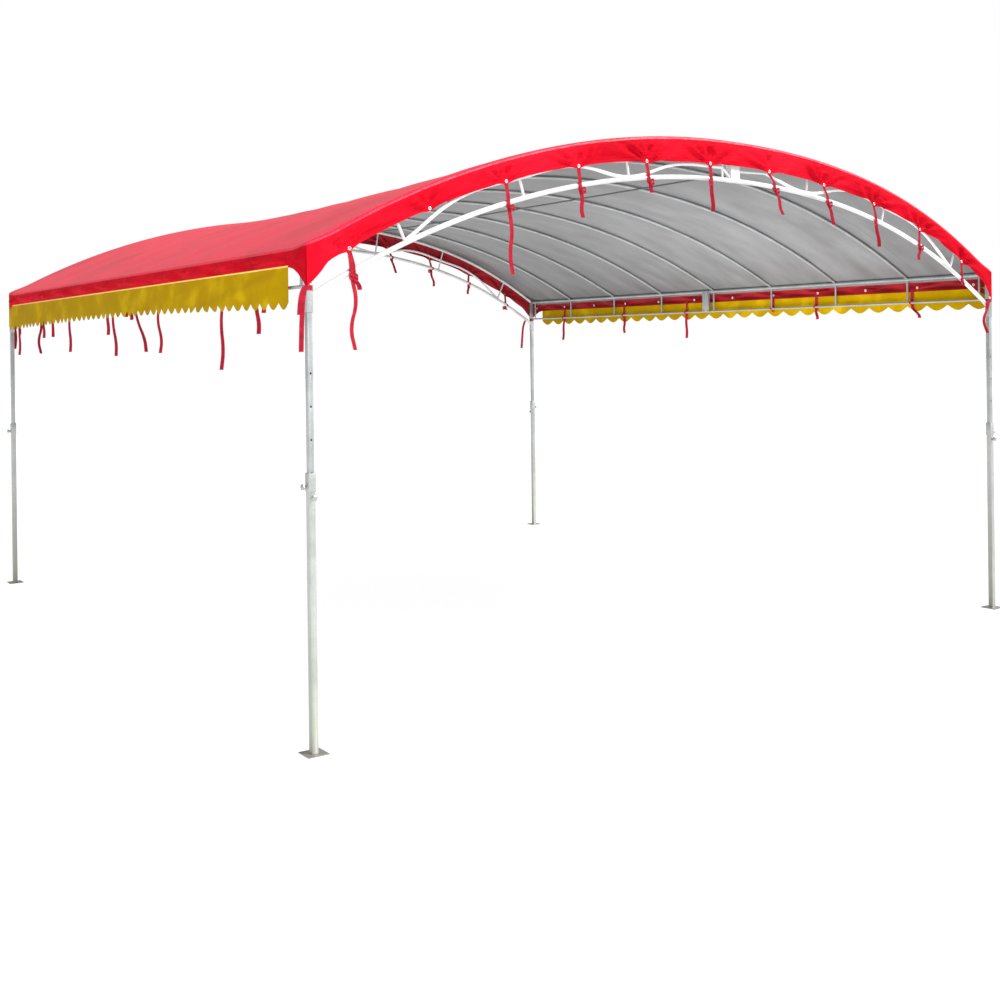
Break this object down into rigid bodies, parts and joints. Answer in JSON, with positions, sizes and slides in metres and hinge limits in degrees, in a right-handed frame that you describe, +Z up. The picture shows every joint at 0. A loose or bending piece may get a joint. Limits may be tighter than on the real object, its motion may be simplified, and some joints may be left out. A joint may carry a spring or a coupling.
{
  "type": "folding garage canopy",
  "caption": "Open-sided vehicle canopy: an arched steel truss frame on telescoping legs with foot plates, under a curved laced cover with gable flaps and scalloped eave valances.",
  "frame": {"origin": "centre of the footprint, on the ground under the foot plates", "axes": "+X across the arches towards the right eave, +Y along the ridge from the front gable to the back gable, +Z up"},
  "size_m": [4.96, 5.1, 2.8336],
  "materials": {
    "white_paint": "white stoved paint on steel tube, satin",
    "galvanised_steel": "zinc coated steel, faint spangle, dulled",
    "screw_plate": "zinc plated screw knob",
    "red_cover_cloth": "coated woven cloth, red outside and silver grey inside, semi gloss",
    "yellow_valance_cloth": "coated woven cloth, yellow"
  },
  "bodies": {
    "roof_frame": {"front_arch_left": "white_paint", "front_arch_right": "white_paint", "back_arch_left": "white_paint", "back_arch_right": "white_paint", "front_crown_hinge_plate": "white_paint", "back_crown_hinge_plate": "white_paint", "left_eave_beam_front": "galvanised_steel", "left_eave_beam_back": "galvanised_steel", "right_eave_beam_front": "galvanised_steel", "right_eave_beam_back": "galvanised_steel", "left_eave_hinge_plate": "galvanised_steel", "right_eave_hinge_plate": "galvanised_steel", "rafter_1": "galvanised_steel", "rafter_2": "galvanised_steel", "rafter_3": "galvanised_steel", "rafter_4": "galvanised_steel", "rafter_5": "galvanised_steel", "rafter_6": "galvanised_steel", "rafter_7": "galvanised_steel", "ridge_tie": "galvanised_steel", "corner_socket_front_left": "galvanised_steel", "corner_socket_front_right": "galvanised_steel", "corner_socket_back_left": "galvanised_steel", "corner_socket_back_right": "galvanised_steel", "upper_leg_front_left": "galvanised_steel", "upper_leg_front_right": "galvanised_steel", "upper_leg_back_left": "galvanised_steel", "upper_leg_back_right": "galvanised_steel", "roof_cover": "red_cover_cloth", "front_gable_flap": "red_cover_cloth", "back_gable_flap": "red_cover_cloth", "left_valance": "yellow_valance_cloth", "right_valance": "yellow_valance_cloth"},
    "leg_front_left": {"lower_leg_front_left": "galvanised_steel"},
    "leg_front_right": {"lower_leg_front_right": "galvanised_steel"},
    "leg_back_left": {"lower_leg_back_left": "galvanised_steel"},
    "leg_back_right": {"lower_leg_back_right": "galvanised_steel"},
    "side_screw_front_left": {"side_clamp_front_left": "screw_plate"},
    "side_screw_front_right": {"side_clamp_front_right": "screw_plate"},
    "side_screw_back_left": {"side_clamp_back_left": "screw_plate"},
    "side_screw_back_right": {"side_clamp_back_right": "screw_plate"},
    "end_screw_front_left": {"end_clamp_front_left": "screw_plate"},
    "end_screw_front_right": {"end_clamp_front_right": "screw_plate"},
    "end_screw_back_left": {"end_clamp_back_left": "screw_plate"},
    "end_screw_back_right": {"end_clamp_back_right": "screw_plate"}
  },
  "joints": [
    {"name": "slide_front_left", "type": "slide", "parent": "roof_frame", "child": "leg_front_left", "axis": [0, 0, 1], "range_m": [-0.142, 0.426]},
    {"name": "slide_front_right", "type": "slide", "parent": "roof_frame", "child": "leg_front_right", "axis": [0, 0, 1], "range_m": [-0.142, 0.426]},
    {"name": "slide_back_left", "type": "slide", "parent": "roof_frame", "child": "leg_back_left", "axis": [0, 0, 1], "range_m": [-0.142, 0.426]},
    {"name": "slide_back_right", "type": "slide", "parent": "roof_frame", "child": "leg_back_right", "axis": [0, 0, 1], "range_m": [-0.142, 0.426]},
    {"name": "turn_side_front_left", "type": "hinge", "parent": "leg_front_left", "child": "side_screw_front_left", "pos_m": [-2.4538, -2.5, 1.141], "axis": [-1, 0, 0], "continuous": true},
    {"name": "turn_side_front_right", "type": "hinge", "parent": "leg_front_right", "child": "side_screw_front_right", "pos_m": [2.4538, -2.5, 1.141], "axis": [1, 0, 0], "continuous": true},
    {"name": "turn_side_back_left", "type": "hinge", "parent": "leg_back_left", "child": "side_screw_back_left", "pos_m": [-2.4538, 2.5, 1.141], "axis": [-1, 0, 0], "continuous": true},
    {"name": "turn_side_back_right", "type": "hinge", "parent": "leg_back_right", "child": "side_screw_back_right", "pos_m": [2.4538, 2.5, 1.141], "axis": [1, 0, 0], "continuous": true},
    {"name": "turn_end_front_left", "type": "hinge", "parent": "leg_front_left", "child": "end_screw_front_left", "pos_m": [-2.43, -2.5213, 1.095], "axis": [0, -1, 0], "continuous": true},
    {"name": "turn_end_front_right", "type": "hinge", "parent": "leg_front_right", "child": "end_screw_front_right", "pos_m": [2.43, -2.5213, 1.095], "axis": [0, -1, 0], "continuous": true},
    {"name": "turn_end_back_left", "type": "hinge", "parent": "leg_back_left", "child": "end_screw_back_left", "pos_m": [-2.43, 2.5213, 1.095], "axis": [0, 1, 0], "continuous": true},
    {"name": "turn_end_back_right", "type": "hinge", "parent": "leg_back_right", "child": "end_screw_back_right", "pos_m": [2.43, 2.5213, 1.095], "axis": [0, 1, 0], "continuous": true}
  ]
}
